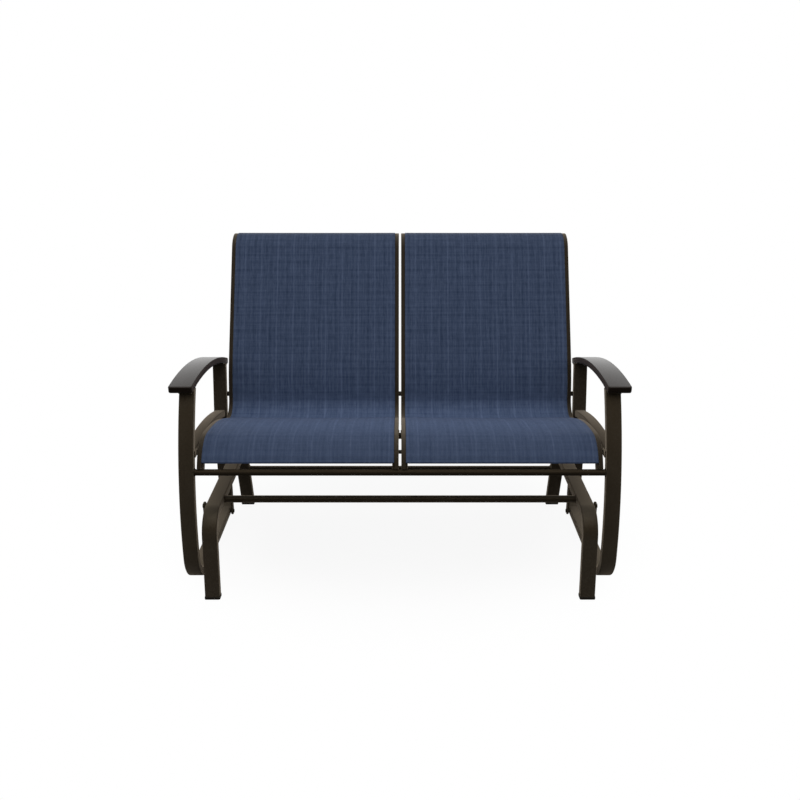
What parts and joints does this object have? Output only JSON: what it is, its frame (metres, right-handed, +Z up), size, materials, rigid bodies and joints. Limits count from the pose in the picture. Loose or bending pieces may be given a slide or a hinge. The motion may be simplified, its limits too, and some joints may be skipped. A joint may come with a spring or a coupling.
{
  "type": "glider bench",
  "caption": "Two-seat sling glider bench: woven seats on a bent-tube frame that swings on links from a fixed base, with arched arms.",
  "frame": {"origin": "on the floor under the middle of the bench", "axes": "+X across the bench to the right seen from the front, +Y to the back, +Z up; the bench faces -Y"},
  "size_m": [1.337, 0.8896, 0.9625],
  "materials": {
    "bronze_coat": "satin dark bronze powder coat",
    "arm_slab": "near-black satin moulding",
    "sling_fabric": "woven blue outdoor mesh with pale slub threads",
    "foot_plastic": "matte black",
    "hardware": "dark bronze coated hardware"
  },
  "bodies": {
    "base": {"base_arches": "bronze_coat", "base_front_stretcher": "bronze_coat", "base_rear_stretcher": "bronze_coat", "foot_cap_front_left": "foot_plastic", "foot_cap_front_right": "foot_plastic", "foot_cap_rear_left": "foot_plastic", "foot_cap_rear_right": "foot_plastic", "upper_pivot_studs": "hardware"},
    "link_front_left": {"swing_link_front_left": "bronze_coat"},
    "link_front_right": {"swing_link_front_right": "bronze_coat"},
    "link_rear_left": {"swing_link_rear_left": "bronze_coat"},
    "link_rear_right": {"swing_link_rear_right": "bronze_coat"},
    "glider": {"arm_left": "arm_slab", "arm_pads_left": "bronze_coat", "arm_pads_right": "bronze_coat", "arm_right": "arm_slab", "back_spreader_left": "bronze_coat", "back_spreader_right": "bronze_coat", "centre_spacers": "hardware", "front_lugs": "bronze_coat", "front_seat_stretcher": "bronze_coat", "lower_pivot_studs": "hardware", "rail_bracket_left": "bronze_coat", "rail_bracket_right": "bronze_coat", "rail_caps": "foot_plastic", "rear_seat_stretcher": "bronze_coat", "seat_side_rails": "bronze_coat", "seat_spreader_left": "bronze_coat", "seat_spreader_right": "bronze_coat", "side_frames": "bronze_coat", "side_rail_spacers": "hardware", "sling_left": "sling_fabric", "sling_rails": "bronze_coat", "sling_right": "sling_fabric"}
  },
  "joints": [
    {"name": "glide", "type": "hinge", "parent": "base", "child": "link_front_left", "pos_m": [-0.5915, -0.32378, 0.2528], "axis": [1, 0, 0], "range_deg": [-20, 20]},
    {"name": "link_front_right_swing", "type": "hinge", "parent": "base", "child": "link_front_right", "pos_m": [0.5915, -0.32378, 0.2528], "axis": [1, 0, 0], "range_deg": [-20, 20]},
    {"name": "link_rear_left_swing", "type": "hinge", "parent": "base", "child": "link_rear_left", "pos_m": [-0.5915, 0.05622, 0.2528], "axis": [1, 0, 0], "range_deg": [-20, 20]},
    {"name": "link_rear_right_swing", "type": "hinge", "parent": "base", "child": "link_rear_right", "pos_m": [0.5915, 0.05622, 0.2528], "axis": [1, 0, 0], "range_deg": [-20, 20]},
    {"name": "glider_level", "type": "hinge", "parent": "link_front_left", "child": "glider", "pos_m": [-0.5915, -0.32378, 0.0427], "axis": [1, 0, 0], "range_deg": [-20, 20]}
  ],
  "couplings": [
    {"joint": "link_front_right_swing", "follows": "glide", "ratio": 1},
    {"joint": "link_rear_left_swing", "follows": "glide", "ratio": 1},
    {"joint": "link_rear_right_swing", "follows": "glide", "ratio": 1},
    {"joint": "glider_level", "follows": "glide", "ratio": -1}
  ]
}
